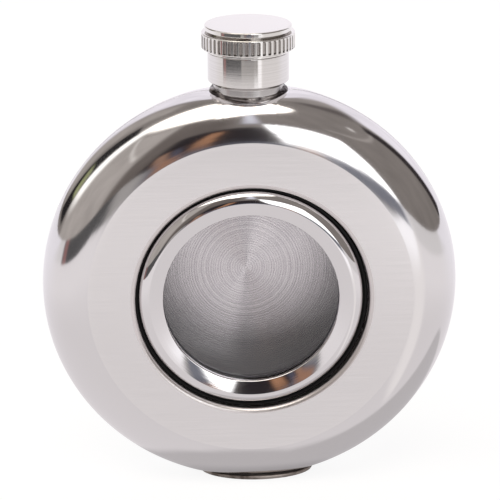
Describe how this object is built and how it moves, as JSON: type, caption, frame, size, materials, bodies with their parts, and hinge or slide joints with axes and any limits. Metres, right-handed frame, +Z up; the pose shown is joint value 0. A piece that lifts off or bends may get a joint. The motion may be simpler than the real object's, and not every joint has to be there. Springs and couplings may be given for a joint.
{
  "type": "hip flask",
  "caption": "Round flat steel hip flask on an oval foot, with a bezel-framed sight glass in its front and a fluted screw cap on a turned neck.",
  "frame": {"origin": "on the surface that the foot stands on, under the middle of the body", "axes": "+Z up the neck, -Y out of the front face with the sight glass, +X to the right seen from the front"},
  "size_m": [0.105, 0.0238, 0.119],
  "materials": {
    "shell_steel": "satin faces, mirror-polished rim",
    "turned_steel": "fine turned",
    "polished_steel": "mirror polished",
    "glass": "clear",
    "black_rubber": "matte black",
    "clear_rubber": "grey silicone",
    "seal_plastic": "white polyethylene"
  },
  "bodies": {
    "flask_body": {"front_shell": "shell_steel", "back_shell": "shell_steel", "window_seat": "turned_steel", "window_glass": "glass", "inner_gasket": "clear_rubber", "window_bezel": "polished_steel", "outer_gasket": "black_rubber", "neck_collar": "turned_steel", "neck_weld": "polished_steel", "base_foot": "polished_steel"},
    "cap_liner": {"cap_seal": "seal_plastic"},
    "cap": {"cap_shell": "turned_steel"}
  },
  "joints": [
    {"name": "cap_rise", "type": "slide", "parent": "flask_body", "child": "cap_liner", "axis": [0, 0, 1], "range_m": [0, 0.00451]},
    {"name": "cap_turn", "type": "hinge", "parent": "cap_liner", "child": "cap", "pos_m": [0, 0, 0.115], "axis": [0, 0, 1], "range_deg": [0, 1080]}
  ],
  "couplings": [
    {"joint": "cap_rise", "follows": "cap_turn", "m_per_rad": 0.00023873}
  ]
}
